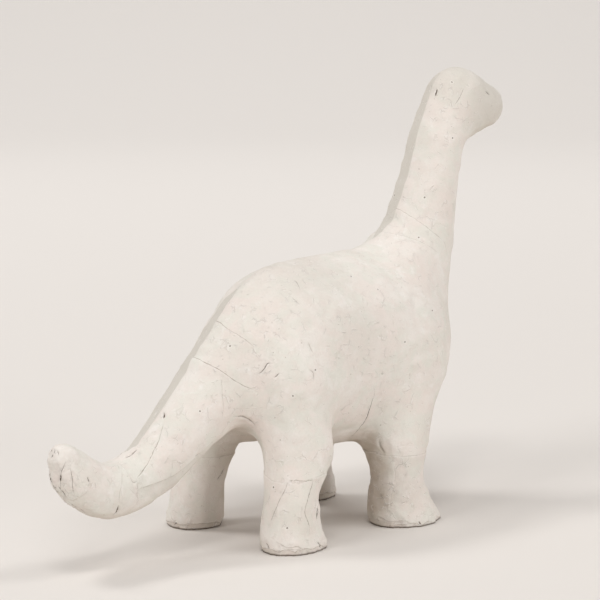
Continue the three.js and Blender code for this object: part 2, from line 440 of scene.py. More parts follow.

# Edges of paper that go round a leg: its middle, the edge's height in mm, its slope and how ragged it is,
# then its lift and the darkness of its painted shadow line, as for a strip edge.
bands = {
    "hindKnee": {"centre": (-38, 38), "height": 43.5, "slope": 0.0, "ragged": 0.3, "lift": 0.4, "dark": 0.2},
    "frontKnee": {"centre": (50, 37), "height": 43, "slope": -0.02, "ragged": 0.4, "lift": 0.4, "dark": 0.3},
    "hindRim": {"centre": (-38, 41), "height": 2.2, "slope": 0.0, "ragged": 0.7, "lift": -0.5, "dark": 0.5},
    "frontRim": {"centre": (57, 41), "height": 2.0, "slope": 0.0, "ragged": 0.7, "lift": -0.5, "dark": 0.5},
}

# A crack is a groove: half-width and depth in mm, how dark the painted shade in it is, and its line. Each has
# a twin on the other side.
cracks = {
    "belly": (0.28, 0.3, 0.7, [
        (21, -48, 88), (23, -46, 81), (23, -43, 73), (24, -38, 65), (23, -33, 59), (23, -27, 54),
        (20, -22, 50),
    ]),
    "flankLong": (0.28, 0.6, 0.7, [
        (-54, -28, 102), (-52, -30, 102), (-50, -31, 104), (-48, -32, 107), (-46, -35, 107),
    ]),
    "flankShort": (0.28, 0.5, 0.6, [(-48, -36, 100), (-47, -37, 100), (-45, -38, 102)]),
    "flankNick": (0.25, 0.3, 0.3, [(-16, -18, 149), (-14, -20, 148), (-16, -25, 144)]),
    "flankScratch": (0.25, 0.3, 0.25, [(-23, -25, 141), (-22, -31, 137)]),
    "sideFold": (0.4, 0.5, 0.22, [(-26, -41, 118), (-25, -45, 111)]),
    "sideZigzag": (0.3, 0.5, 0.28, [(-31, -47, 104), (-28, -48, 101), (-29, -49, 96)]),
    "tailArch": (0.4, 0.8, 0.5, [
        (-66, -22, 78), (-60, -22, 77), (-55, -22, 75), (-51, -23, 72), (-49, -24, 69),
    ]),
    "tailHole": (0.6, 1.0, 1.0, [(-99, -2, 82), (-100, -3, 81), (-101, -4, 79)]),
    "tailDouble": (0.3, 0.5, 0.6, [(-91, -18, 58), (-86, -17, 60)]),
    "tailFork": (0.2, 0.3, 0.28, [(-134, -13, 54), (-133, -15, 50), (-129, -15, 51)]),
    "tailFlap": (0.4, 0.8, 0.6, [(-129, -3, 61), (-124, -3, 62), (-119, -3, 65)]),
    "tipEdge": (0.35, 0.5, 0.7, [(-176, 3, 54), (-174, 4, 49), (-171, 4, 45)]),
    "turnUnder": (0.5, 0.8, 0.9, [(-143, -14, 40), (-142, -12, 35), (-143, -9, 33)]),
    "tipSpot": (0.55, 0.9, 1.0, [(-174, -5, 61), (-174, -4, 57), (-173, -3, 54)]),
    "tipSpotTail": (0.22, 0.4, 0.5, [
        (-172, -7, 69), (-174, -5, 61), (-174, -4, 57), (-173, -3, 53), (-171, -1, 49),
    ]),
    "tipLoop": (0.2, 0.4, 0.42, [(-171, -8, 66), (-170, -9, 57), (-169, -8, 52), (-167, -8, 46)]),
    "tipUnder": (0.4, 0.7, 0.8, [(-168, 1, 44), (-165, -2, 41), (-161, -2, 37), (-154, -2, 34)]),
    "tipInner": (0.4, 0.6, 0.7, [(-162, -12, 58), (-161, -12, 54)]),
    "tipTop": (0.3, 0.5, 0.6, [(-174, 0, 73), (-176, -1, 70)]),
    "tipTopTwo": (0.35, 0.5, 0.55, [(-174, -2, 72), (-175, -4, 70)]),
    "kneeSlit": (0.65, 0.9, 1.0, [(-30, -52, 26), (-30, -53, 18)]),
    "heel": (0.45, 0.8, 0.8, [(-56, -38, 7), (-56, -41, 3)]),
    "toe": (0.4, 0.8, 0.7, [(-33, -55, 7), (-28, -55, 1)]),
    "bellyDab": (0.8, 0.4, 0.25, [(25, -49, 94), (28, -49, 93.4)]),
    "farKnee": (0.45, 0.8, 0.9, [(-31, 23, 36), (-34, 23, 32), (-37, 23, 29)]),
    "armpit": (0.8, 0.8, 0.24, [(33, -40, 54), (34, -41, 48), (35, -44, 44)]),
    "rimSlit": (0.5, 0.8, 0.8, [(50, -57, 4), (52, -58, 1)]),
    "crown": (0.5, 0.9, 0.95, [(122, -3, 251), (120, -3, 246)]),
    "cheek": (0.18, 0.3, 0.42, [(134, -14, 252), (129, -14, 245), (124, -14, 240)]),
    "brow": (0.38, 0.6, 0.75, [(151, -16, 249), (155, -17, 246)]),
}

# Pinholes, in mm: each a dent with painted shade in it and a painted highlight round its rim.
pinholes = [
    (26, -24, 148), (-41, -45, 89), (-86, -17, 83), (76, -42, 124), (45, -50, 110), (38, -34, 140),
    (-26, -48, 103), (100, -13, 187), (-60, -14, 116), (90, -18, 164), (-50, -38, 38), (-50, -49, 16),
    (120, -18, 222), (128, -9, 255),
]


# A smooth run of points through the given ones, laid on the skin, with the way across it at each point.
def layLine(points, surface):
    rows = [Vector(p) for p in points]
    rows = [rows[0] * 2 - rows[1], *rows, rows[-1] * 2 - rows[-2]]
    path = []
    for a, b, c, d in zip(rows, rows[1:], rows[2:], rows[3:]):
        count = max(2, int((c - b).length / marking["spacing"]))
        for n in range(count):
            t = n / count
            bend = (a * 2 - b * 5 + c * 4 - d) * t * t + (b * 3 - a - c * 3 + d) * t ** 3
            path.append((b * 2 + (c - a) * t + bend) * 0.5)
    path.append(rows[-2])
    laid = [surface.find_nearest(p * mm)[:2] for p in path]
    line = []
    for n, (place, normal) in enumerate(laid):
        along = laid[min(n + 1, len(laid) - 1)][0] - laid[max(n - 1, 0)][0]
        line.append((place, along.cross(normal).normalized()))
    return line


def mirrored(points):
    return [(x, -y, z) for x, y, z in points]


# A band's edge: a ragged ring round the leg, begun on the leg's hidden inner side.
def bandLine(band, side, rng):
    x, y = band["centre"]
    points = []
    for turn in range(marking["bandPoints"]):
        angle = math.tau * turn / marking["bandPoints"] - side * 0.5 * math.pi
        wave = rng.uniform(-1, 1) * band["ragged"]
        ahead = marking["bandRadius"] * math.cos(angle)
        aside = marking["bandRadius"] * math.sin(angle)
        points.append((x + ahead, side * y + aside, band["height"] + band["slope"] * ahead + wave))
    return points + points[:1]


# All seams and cracks as rows of (place, across, strength along the line, the mark's own values).
def gatherMarks(surface):
    rng = np.random.default_rng(marking["seed"])
    seamRows = []
    crackRows = []

    def add(rows, points, values, fade):
        line = layLine(points, surface)
        for n, (place, across) in enumerate(line):
            fromEnd = min(n, len(line) - 1 - n) / (len(line) - 1)
            strength = min(1.0, fromEnd / fade) if fade else 1.0
            rows.append((place, across, strength, values))

    for mark in seams.values():
        points = mark["line"]
        if not mark.get("bothSides"):
            add(seamRows, points, mark, marking["oneFade"])
        elif points[0][1] == 0:  # it begins on the ridge, so both halves are one line
            add(seamRows, mirrored(points)[::-1] + points[1:], mark, marking["backFade"])
        else:
            add(seamRows, points, mark, marking["pairFade"])
            add(seamRows, mirrored(points)[::-1], mark, marking["pairFade"])
    for band in bands.values():
        for side in (-1, 1):
            add(seamRows, bandLine(band, side, rng), band, 0)
    for wide, deep, dark, points in cracks.values():
        values = {"wide": wide, "deep": deep, "dark": dark}
        shift = rng.uniform(-marking["twinShift"], marking["twinShift"], 3)
        twin = [(x + shift[0], -y, max(z + shift[2], 1)) for x, y, z in points]
        add(crackRows, points, values, marking["crackFade"])
        add(crackRows, twin, values, marking["crackFade"])
    return seamRows, crackRows


# Splits the faces near the marks and the rims of the soles, so that there are points to draw them with.
def refineNear(mesh, places):
    tree = treeOf(places)
    reach = marking["refineWithin"] * mm
    rim = marking["rimHeight"] * mm
    work = bmesh.new()
    work.from_mesh(mesh)
    near = {v for v in work.verts if 0.3 * mm < v.co.z < rim or tree.find(v.co)[2] < reach}
    edges = [e for e in work.edges if e.verts[0] in near and e.verts[1] in near]
    bmesh.ops.subdivide_edges(work, edges=edges, cuts=1, use_grid_fill=True, smooth=0.0)
    work.to_mesh(mesh)
    work.free()


# Writes how far each point is from the nearest mark, across it and in all, and that mark's own values.
def writeMarks(mesh, name, rows, keys):
    tree = treeOf([row[0] for row in rows])
    written = {key: [] for key in ("side", "near", *keys)}
    for vertex in mesh.vertices:
        place, n, distance = tree.find(vertex.co)
        _, across, strength, mark = rows[n]
        written["side"].append((vertex.co - place).dot(across) / mm)
        written["near"].append(distance / mm)
        for key in keys:
            written[key].append(mark.get(key, 0.0) * strength)
    for key, data in written.items():
        writeNumbers(mesh, name + key.capitalize(), data)


# Pins are moved to the nearest point of the mesh, so that none is lost between points.
def writePins(mesh):
    corners = treeOf([v.co for v in mesh.vertices])
    pins = treeOf([corners.find(Vector(p) * mm)[0] for p in pinholes + mirrored(pinholes)])
    writeNumbers(mesh, "pinNear", [pins.find(v.co)[2] / mm for v in mesh.vertices])


# How far each point is to the left of the ridge, and how wide the strip is there.
def writeRidge(mesh, rows):
    tree = treeOf([row[0] for row in rows])
    side = []
    wide = []
    for vertex in mesh.vertices:
        place, n, distance = tree.find(vertex.co)
        nearRidge = distance < ridge["tintReach"] * mm
        side.append((vertex.co.y - place.y) / mm if nearRidge else -ridge["tintReach"])
        wide.append(rows[n][3] / mm)
    writeNumbers(mesh, "ridgeSide", side)
    writeNumbers(mesh, "ridgeWide", wide)


# Places in the paper: middle and reach in mm, and how strongly. First the crumpled ones.
crumples = [
    (-172, -2, 58, 16, 1.0), (-150, -6, 40, 18, 0.45), (-128, -8, 46, 16, 0.5), (37, -45, 27, 19, 1.0),
    (33, -41, 47, 14, 0.9), (40, -50, 8, 12, 0.8), (55, -54, 6, 12, 0.6), (-45, -50, 5, 14, 0.6),
    (-30, -50, 5, 12, 0.6), (-52, 40, 5, 13, 0.8), (-60, -24, 76, 9, 0.6), (-50, -33, 104, 10, 0.5),
    (150, -8, 250, 12, 0.3), (60, 48, 20, 16, 0.8), (-36, 52, 12, 14, 0.7), (-168, 4, 50, 12, 0.7),
    (36, 46, 30, 14, 0.5),
]

# Painted shade, greyer and duller: the side of the head, the crown, the back, the flank, the rump and the
# inner side of the near front leg.
greyShades = [
    (156, -12, 242, 22, 1.0), (134, -4, 258, 15, 0.9), (-5, -8, 156, 34, 0.5), (40, -44, 24, 14, 0.5),
    (8, -44, 118, 18, 0.45), (-60, -14, 108, 14, 0.3),
]

# Painted shade, brown: the inner sides of the legs and the folds above them.
grime = [
    (31, -33, 36, 13, 0.9), (31, -36, 18, 12, 0.9), (31, -30, 50, 12, 0.8), (31, 33, 30, 16, 0.6),
    (-20, 28, 40, 14, 0.6), (-21, 30, 20, 14, 0.6), (-22, -28, 40, 12, 0.4), (36, -42, 47, 6, 0.7),
]


def writePlaces(mesh, name, rows):
    points = coordsOf(mesh) / mm
    data = np.zeros(len(points))
    for x, y, z, reach, strength in rows:
        away = np.linalg.norm(points - (x, y, z), axis=1)
        data = np.maximum(data, strength * np.clip(1.5 - away / reach, 0, 1))
    writeNumbers(mesh, name, data)


# How the paper is closed in by the rest of the body and by the floor, for painted shade in the closed-in
# places.
shelter = {
    "seed": 3,
    "rays": 56,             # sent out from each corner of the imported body
    "reach": 0.16,          # metres within which the body closes a ray off
    "floorUnder": 0.85,     # share of a ray that the floor closes off under the animal
    "floorBeside": 0.12,    # and beside it
    "halfLength": 0.10,     # of the floor under the animal, in metres
    "halfWidth": 0.055,
    "corners": 7,           # nearest corners from which a point of the skin takes its share
}


def measureOcclusion(mesh):
    work = bmesh.new()
    work.from_mesh(mesh)
    bmesh.ops.remove_doubles(work, verts=work.verts, dist=skin["mergeWithin"])
    work.normal_update()
    surface = BVHTree.FromBMesh(work)
    rng = np.random.default_rng(shelter["seed"])
    rays = [Vector(ray).normalized() for ray in rng.normal(size=(shelter["rays"], 3))]
    places = []
    closed = []
    for vertex in work.verts:
        start = vertex.co + vertex.normal * mm
        blocked = 0.0
        for ray in rays:
            way = (vertex.normal * 1.02 + ray).normalized()
            if surface.ray_cast(start, way, shelter["reach"])[0]:
                blocked += 1.0
            elif way.z < -0.05:
                x, y, _ = start - way * (start.z / way.z)
                underBody = abs(x) < shelter["halfLength"] and abs(y) < shelter["halfWidth"]
                blocked += shelter["floorUnder" if underBody else "floorBeside"]
        places.append(vertex.co.copy())
        closed.append(blocked / len(rays))
    work.free()
    return places, closed


# Spreads the closed-in shares over the skin, for the painted shade.
def writeOcclusionShade(mesh, places, closed):
    tree = treeOf(places)
    data = []
    for vertex in mesh.vertices:
        total = share = 0.0
        for _, n, distance in tree.find_n(vertex.co, shelter["corners"]):
            weight = 1 / (distance + 2 * mm)
            total += closed[n] * weight
            share += weight
        data.append(total / share)
    writeNumbers(mesh, "shelter", data)


def markSkin(piece):
    surface = BVHTree.FromObject(piece, bpy.context.evaluated_depsgraph_get())
    seamRows, crackRows = gatherMarks(surface)
    ridgeRows = layRidge(surface)
    mesh = piece.data
    lines = [row[0] for row in seamRows + crackRows + ridgeRows]
    refineNear(mesh, lines + [Vector(p) * mm for p in pinholes])
    flattenStrip(mesh, ridgeRows)
    writeMarks(mesh, "seam", seamRows, ["lift", "dark", "tone"])
    writeMarks(mesh, "crack", crackRows, ["wide", "deep", "dark"])
    writePins(mesh)
    writeRidge(mesh, ridgeRows)
    writePlaces(mesh, "crumple", crumples)
    writePlaces(mesh, "stain", greyShades)
    writePlaces(mesh, "grime", grime)
    writeOcclusionShade(mesh, *measureOcclusion(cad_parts["dinosaur"].data))
    print("marks:", len(seamRows), "seam and", len(crackRows), "crack points,", len(mesh.polygons), "faces")


# The relief of the paper, raised all over the skin by one tree. These are the inputs of that tree.
relief = {
    "Lump height": 0.45 * mm,   # hand-pressed unevenness of the whole shell
    "Lump size": 34 * mm,
    "Dent height": 0.2 * mm,    # smaller dabs where wet paper was pushed flat
    "Dent size": 8 * mm,
    "Pulp height": 0.09 * mm,   # grain of the pulp itself
    "Pulp size": 2.2 * mm,
    "Strip reach": 9.0,         # mm over which a strip edge runs out
    "Lip height": 0.3 * mm,     # of a crack 1 mm deep
    "Pin depth": 0.5 * mm,
    "Fold height": 0.55 * mm,   # wrinkles where the paper is crumpled, and a trace of them all over
    "Fold size": 11 * mm,
    "Fleck density": 4200.0,    # flecks of dried pulp to a square metre
}
# Where the steps of the relief and of its colours begin and are full, across a mark, in mm.
steps = {
    "edge": (-0.35, 0.35),          # a strip edge rises
    "seamLine": (0.05, 0.36),       # its painted shadow line runs out
    "onSeam": (1.0, 1.7),
    "liftSign": (-0.02, 0.02),
    # the painted highlight on the raised side of a strip edge
    "seamHighlight": (0.1, 0.5),
    "pastSeam": (0.0, 0.5),         # its painted shade begins
    "toneEnd": (7.0, 11.0),
    "pastCrack": (1.5, 5.0),        # a crack closes past its end
    "groove": (0.1, 1.3),           # in half-widths of the crack
    "lipIn": (0.8, 1.6),
    "lipOut": (1.6, 4.5),
    "crackLine": (0.5, 1.3),
    "onCrack": (1.1, 1.9),
    # the painted highlight beside a crack
    "crackHighlight": (0.1, 0.4),
    "pin": (0.1, 0.9),              # a pinhole's side
    # the painted shade in a pinhole
    "pinDark": (0.3, 0.75),
    "pinIn": (0.7, 0.9),            # its rim's painted highlight
    "pinOut": (1.1, 1.5),
    "wrinkle": (0.05, 0.30),        # a short wrinkle's painted shade and its painted highlight
    "litIn": (0.2, 0.4),
    "litOut": (0.5, 0.8),
    "hairline": (0.0, 0.016),       # in levels of a noise
    "stripIn": (0.0, 0.35),         # the strip down the left of the ridge
    "stripOut": (-0.6, 0.6),
    "hasStrip": (1.0, 4.0),
    "occlusionShaded": (0.43, 0.90),      # painted shade where the paper is closed in; in shares, as the next one
    # painted shade on the inner sides of the legs
    "legShaded": (0.1, 0.9),
    "offFloor": (0.0, 1.6 * mm),    # the relief begins above the soles
    "contact": (0.4 * mm, 1.5 * mm),    # the painted contact shadow under the rim of a foot
    "below": (0.45, 0.95),          # how far a face looks down, for painted shade on the undersides
}
fleckSizes = {0: (0.22 * mm, 0.2 * mm, 0.07 * mm), 1: (0.6 * mm, 0.4 * mm, 0.16 * mm)}  # least and most


def named(sheet, name):
    sockets = {"Name": name}
    return sheet.node("GeometryNodeInputNamedAttribute", {"data_type": "FLOAT"}, sockets)


# How far each point of the skin is moved out, as one wire.
def reliefHeight(sheet, given, place):
    def bump(name, detail):
        return (sheet.noise(place, given[name + " size"], detail) - 0.5) * given[name + " height"] * 2

    # thin lines, wandering and broken, where wet paper folded on itself
    def crinkle(size, detail, thin):
        level = sheet.noise(place, size, detail, distortion=0.8)
        return (1 - sheet.step(abs(level - 0.5) * 10, 0.0, thin)) * given["Fold height"]

    # a strip edge has its full height at the line, and runs out over the strip
    edge = sheet.step(named(sheet, "seamSide"), *steps["edge"])
    runOut = 1 - sheet.step(named(sheet, "seamNear"), 0.0, given["Strip reach"])
    strip = edge * runOut * named(sheet, "seamLift") * mm

    # a crack is a groove with curled lips, and closes past its end
    pastEnd = sheet.step(named(sheet, "crackNear"), *steps["pastCrack"])
    away = abs(named(sheet, "crackSide")) / (named(sheet, "crackWide") + 0.2) + pastEnd * 4
    deep = named(sheet, "crackDeep")
    groove = (1 - sheet.step(away, *steps["groove"])) * deep * mm
    lip = sheet.step(away, *steps["lipIn"]) * (1 - sheet.step(away, *steps["lipOut"]))
    curl = lip * deep * given["Lip height"]
    pins = (1 - sheet.step(named(sheet, "pinNear"), *steps["pin"])) * given["Pin depth"]

    crumple = named(sheet, "crumple")
    folds = crinkle(given["Fold size"], 3.0, 0.45) * (0.06 + crumple)
    creases = crinkle(given["Fold size"] * 0.45, 2.0, 0.3) * (0.12 + crumple) * 0.5
    total = bump("Lump", 1.0) + bump("Dent", 2.0) * (1 + crumple * 1.6) + bump("Pulp", 2.0)
    total = total + strip - groove + curl - pins + folds - creases
    total = total - crumple * given["Fold height"] * 0.3  # crumpling keeps within the body
    return total * sheet.step(sheet.heightOf(place), *steps["offFloor"])


def makeReliefTree(paper):
    tree = bpy.data.node_groups.new("paperRelief", "GeometryNodeTree")
    tree.interface.new_socket("Geometry", in_out="INPUT", socket_type="NodeSocketGeometry")
    for name, value in relief.items():
        entry = tree.interface.new_socket(name, in_out="INPUT", socket_type="NodeSocketFloat")
        entry.default_value = value
    tree.interface.new_socket("Geometry", in_out="OUTPUT", socket_type="NodeSocketGeometry")
    sheet = Sheet(tree)
    geometry = sheet.node("NodeGroupInput")
    given = {name: geometry.other(name) for name in relief}
    place = sheet.node("GeometryNodeInputPosition")
    normal = sheet.node("GeometryNodeInputNormal")
    move = sheet.vector("SCALE", {0: normal, 3: reliefHeight(sheet, given, place)})
    raised = sheet.node("GeometryNodeSetPosition", {}, {"Geometry": geometry, "Offset": move})

    # flecks of pulp that dried on the skin
    settings = {"distribute_method": "RANDOM"}
    sockets = {"Mesh": raised, "Density": given["Fleck density"], "Seed": 11}
    scatter = sheet.node("GeometryNodeDistributePointsOnFaces", settings, sockets)
    fleck = sheet.node("GeometryNodeMeshIcoSphere", {}, {"Radius": 1.0, "Subdivisions": 1})
    settings = {"data_type": "FLOAT_VECTOR"}
    size = sheet.node("FunctionNodeRandomValue", settings, {**fleckSizes, "Seed": 5})
    sockets = {"Points": scatter, "Instance": fleck, "Rotation": scatter.other("Rotation"), "Scale": size}
    flecks = sheet.node("GeometryNodeInstanceOnPoints", {}, sockets)
    joined = sheet.node("GeometryNodeJoinGeometry", {}, {0: [flecks, raised]})
    real = sheet.node("GeometryNodeRealizeInstances", {}, {"Geometry": joined})
    done = sheet.node("GeometryNodeSetMaterial", {}, {"Geometry": real, "Material": paper})
    sheet.node("NodeGroupOutput", {}, {0: done})
    return tree


def raiseRelief(piece, paper):
    tree = makeReliefTree(paper)
    modifier = piece.modifiers.new("relief", "NODES")
    modifier.node_group = tree
    for socket in tree.interface.items_tree:
        if socket.in_out == "INPUT" and socket.name in relief:
            modifier[socket.identifier] = relief[socket.name]
    bakeModifiers(piece)
    low, high = (np.array(corner) for corner in cadBox)
    setCoords(piece.data, np.clip(coordsOf(piece.data), low, high))  # nothing stands outside the body's box
    piece.data.shade_smooth()
    print("relief:", len(piece.data.polygons), "faces in the finished shell")


# The paper's own colours and gloss.
paperLook = {
    "pale": (0.815, 0.775, 0.73, 1.0),
    "warm": (0.775, 0.69, 0.64, 1.0),       # glue-stained patches
    "cool": (0.735, 0.73, 0.665, 1.0),      # greyer paper showing through
    "chalkAndHighlight": (0.865, 0.83, 0.80, 1.0),      # rubbed, almost white places, and painted highlights on raised edges
    "strip": (0.65, 0.615, 0.56, 1.0),      # darker: painted shade on the strip down the left of the ridge, on the greyed places and below the tail's keel
    "shade": (0.50, 0.41, 0.32, 1.0),       # painted shade in closed-in places, on the inner sides of the legs and on the undersides
    # dark lines: painted shade in the creases and hairlines, painted shadow along strip edges, and dark
    # specks in the pulp
    "line": (0.30, 0.245, 0.195, 1.0),
    # near black: painted shade in cracks and pinholes, and the painted contact shadow under the feet
    "crack": (0.13, 0.10, 0.075, 1.0),
    "roughness": 0.92,
    "rubbedGloss": 0.07,                    # how much smoother the rubbed places are
    "specular": 0.25,
    "bump": 0.75,
}

# Clouds in the paper: size, detail, roughness and distortion of a noise, then where it begins and is full.
clouds = {
    "blotches": (34 * mm, 3.0, 0.6, 0.0, 0.38, 0.64),
    "patches": (15 * mm, 3.0, 0.55, 0.4, 0.42, 0.62),
    "dabs": (6.5 * mm, 3.0, 0.6, 0.6, 0.40, 0.66),
    "rubbed": (10 * mm, 4.0, 0.6, 0.3, 0.57, 0.70),
    "specks": (1.7 * mm, 1.0, 0.4, 0.0, 0.765, 0.80),
    "bits": (4.2 * mm, 1.0, 0.5, 0.0, 0.55, 0.59),          # where there are short wrinkles
    "finely": (9 * mm, 1.0, 0.5, 0.0, 0.46, 0.66),          # and where there are hairlines
    "broken": (3.5 * mm, 2.0, 0.6, 0.0, 0.30, 0.62),        # how a line comes and goes along its length
}

# Tints from the lowest up: each one's colour, and how far it covers where it is full.
paperTints = {
    "blotches": ("warm", 0.6),
    "patches": ("cool", 0.6),
    "dabs": ("warm", 0.35),
    "rubbed": ("chalkAndHighlight", 0.5),
    # the strip down the left of the ridge, painted darker: painted shade on this facet
    "strip": ("strip", 0.9),
    # painted shade on the head, crown, back, flank, rump and the near front leg's inner side
    "stain": ("strip", 0.8),
    # painted shade where the paper is closed in
    "occlusionShaded": ("shade", 0.5),
    # painted shade on the inner sides of the legs and the folds above them
    "grime": ("shade", 1.0),
    "specks": ("line", 0.4),
    # painted highlights beside the short wrinkles
    "litEdges": ("chalkAndHighlight", 0.5),
    # painted shade in the short wrinkles and hairlines
    "creases": ("line", 1.0),
}
markTints = {
    # painted shade past a strip edge: the tail's underside below its keel
    "pastSeam": ("strip", 0.5),
    # painted highlights beside strip edges, cracks and pinholes
    "seamHighlight": ("chalkAndHighlight", 0.5),
    "crackHighlight": ("chalkAndHighlight", 0.6),
    "pinHighlight": ("chalkAndHighlight", 0.55),
    # the painted shadow line along a strip edge
    "seamLine": ("line", 0.9),
    # painted shade in cracks and pinholes
    "holes": ("crack", 1.0),
    # the painted contact shadow under the feet
    "contact": ("crack", 0.85),
    # painted shade on the undersides
    "below": ("shade", 0.35),
}

# Heights of the fine relief under light, in mm.
paperBumps = {
    "grain": 0.06, "fibres": 0.04, "wrinkles": -0.16, "litEdges": 0.18, "hairlines": -0.06,
    "seamLine": -0.2, "crackLine": -0.4,
}


def attribute(sheet, name):
    return sheet.node("ShaderNodeAttribute", {"attribute_name": name}, out=2)


# The masks of the paper itself, each from 0 to 1.
def paperMasks(sheet, place):
    masks = {}
    for name, (size, detail, roughness, distortion, low, high) in clouds.items():
        masks[name] = sheet.step(sheet.noise(place, size, detail, roughness, distortion), low, high)
    masks["grain"] = sheet.noise(place, 1.3 * mm, 3.0, 0.6)
    masks["fibres"] = sheet.noise(place, 0.7 * mm, 2.0, 0.7)
    masks["crumple"] = attribute(sheet, "crumple")

    # short raised wrinkles along the borders of bent cells, each with a dark side of painted shade and a
    # light side of painted highlight
    cell = 6.5
    bent = sheet.vector("SCALE", {0: sheet.noise(place, 3 * mm, out=1), 3: 2.6 * mm})
    bent = sheet.vector("ADD", {0: bent, 1: place})
    settings = {"feature": "DISTANCE_TO_EDGE"}
    toBorder = sheet.node("ShaderNodeTexVoronoi", settings, {"Vector": bent, "Scale": 1 / (cell * mm)}) * cell
    bits = masks["bits"] * (0.35 + masks["blotches"] * 0.65)
    masks["wrinkles"] = (1 - sheet.step(toBorder, *steps["wrinkle"])) * bits
    lit = sheet.step(toBorder, *steps["litIn"]) * (1 - sheet.step(toBorder, *steps["litOut"]))
    masks["litEdges"] = lit * bits
    level = sheet.noise(place, 3.4 * mm, 2.0, 0.55, 0.7)
    masks["hairlines"] = (1 - sheet.step(abs(level - 0.5), *steps["hairline"])) * masks["finely"]
    creases = masks["wrinkles"] * (0.105 + masks["crumple"] * 0.11)
    masks["creases"] = creases + masks["hairlines"] * (0.08 + masks["crumple"] * 0.12)

    # the strip down the left of the ridge is painted darker, as shade on this facet
    fromRidge = attribute(sheet, "ridgeSide")
    stripWide = attribute(sheet, "ridgeWide")
    pastStrip = sheet.step(fromRidge - stripWide, *steps["stripOut"])
    onStrip = sheet.step(fromRidge, *steps["stripIn"]) * (1 - pastStrip)
    masks["strip"] = onStrip * sheet.step(stripWide, *steps["hasStrip"])
    # painted shade on the head, crown, back, flank, rump and the near front leg's inner side
    masks["stain"] = attribute(sheet, "stain")
    # painted shade where the paper is closed in
    masks["occlusionShaded"] = sheet.step(attribute(sheet, "shelter"), *steps["occlusionShaded"])
    # painted shade on the inner sides of the legs and the folds above them
    legShaded = sheet.step(attribute(sheet, "grime"), *steps["legShaded"])
    masks["grime"] = legShaded * (0.3 + masks["patches"] * 0.35)
    return masks


# The masks of the marks: their lines waver a little, and come and go along their length.
def addMarkMasks(sheet, place, masks):
    waver = (sheet.noise(place, 2.6 * mm) - 0.5) * 0.9
    broken = masks["broken"]
    seamNear = attribute(sheet, "seamNear")
    lift = attribute(sheet, "seamLift")
    across = attribute(sheet, "seamSide") + waver
    onSeam = 1 - sheet.step(seamNear, *steps["onSeam"])
    # a painted shadow line along the strip edge
    line = (1 - sheet.step(abs(across), *steps["seamLine"])) * onSeam * attribute(sheet, "seamDark")
    masks["seamLine"] = line * (0.35 + broken * 0.75)
    # a painted highlight on the raised side of the strip edge
    raisedSide = sheet.step(lift, *steps["liftSign"]) * 1.4 - 0.7
    masks["seamHighlight"] = (1 - sheet.step(abs(across - raisedSide), *steps["seamHighlight"])) * onSeam * abs(lift)
    # painted shade past a strip edge, on the tail's underside below its keel
    past = sheet.step(attribute(sheet, "seamSide"), *steps["pastSeam"])
    masks["pastSeam"] = past * (1 - sheet.step(seamNear, *steps["toneEnd"])) * attribute(sheet, "seamTone")

    across = attribute(sheet, "crackSide") + waver * 0.6
    wide = attribute(sheet, "crackWide") * (0.35 + broken * 0.6)
    onCrack = 1 - sheet.step(attribute(sheet, "crackNear"), *steps["onCrack"])
    strength = onCrack * attribute(sheet, "crackDark")
    # painted shade in the crack
    masks["crackLine"] = (1 - sheet.step(abs(across) / (wide + 0.04), *steps["crackLine"])) * strength
    # a painted highlight beside the crack
    masks["crackHighlight"] = (1 - sheet.step(abs(across - wide - 0.45), *steps["crackHighlight"])) * strength
    pinNear = attribute(sheet, "pinNear")
    # a painted highlight on a pinhole's rim
    masks["pinHighlight"] = sheet.step(pinNear, *steps["pinIn"]) * (1 - sheet.step(pinNear, *steps["pinOut"]))
    # painted shade in a pinhole
    pin = 1 - sheet.step(pinNear, *steps["pinDark"])
    masks["holes"] = maths("MAXIMUM", masks["crackLine"], pin * 0.8)

    # the painted contact shadow under the rim of a foot, and painted shade on the undersides
    masks["contact"] = 1 - sheet.step(sheet.heightOf(place) + waver * (0.5 * mm), *steps["contact"])
    facing = sheet.heightOf(sheet.node("ShaderNodeNewGeometry", out=1))
    masks["below"] = sheet.step(-facing, *steps["below"])


def makePaper():
    material = bpy.data.materials.new("driedPaper")
    material.use_nodes = True
    tree = material.node_tree
    tree.nodes.clear()
    sheet = Sheet(tree)
    place = sheet.node("ShaderNodeTexCoord", out=3)
    masks = paperMasks(sheet, place)
    addMarkMasks(sheet, place, masks)

    base = paperLook["pale"]
    for name, (colour, share) in paperTints.items():
        base = sheet.mixColour(masks[name] * share, base, paperLook[colour])
    shade = 0.95 + masks["grain"] * 0.10
    grey = sheet.node("ShaderNodeCombineColor", {}, {0: shade, 1: shade, 2: shade})
    base = sheet.mixColour(1.0, base, grey, "MULTIPLY")
    for name, (colour, share) in markTints.items():
        base = sheet.mixColour(masks[name] * share, base, paperLook[colour])

    surface = sheet.noise(place, 4.5 * mm, 3.0, 0.62, 1.2) * (0.22 + masks["crumple"] * 0.35)
    for name, height in paperBumps.items():
        surface = surface + masks[name] * height
    sockets = {"Height": surface, "Strength": paperLook["bump"], "Distance": 1.0 * mm}
    normal = sheet.node("ShaderNodeBump", {}, sockets)
    rough = paperLook["roughness"] - masks["rubbed"] * paperLook["rubbedGloss"]
    sockets = {"Base Color": base, "Roughness": rough, "Normal": normal}
    sockets["Specular IOR Level"] = paperLook["specular"]
    shader = sheet.node("ShaderNodeBsdfPrincipled", {}, sockets)
    sheet.node("ShaderNodeOutputMaterial", {}, {"Surface": shader})
    print("paper:", len(tree.nodes), "nodes in its look")
    return material


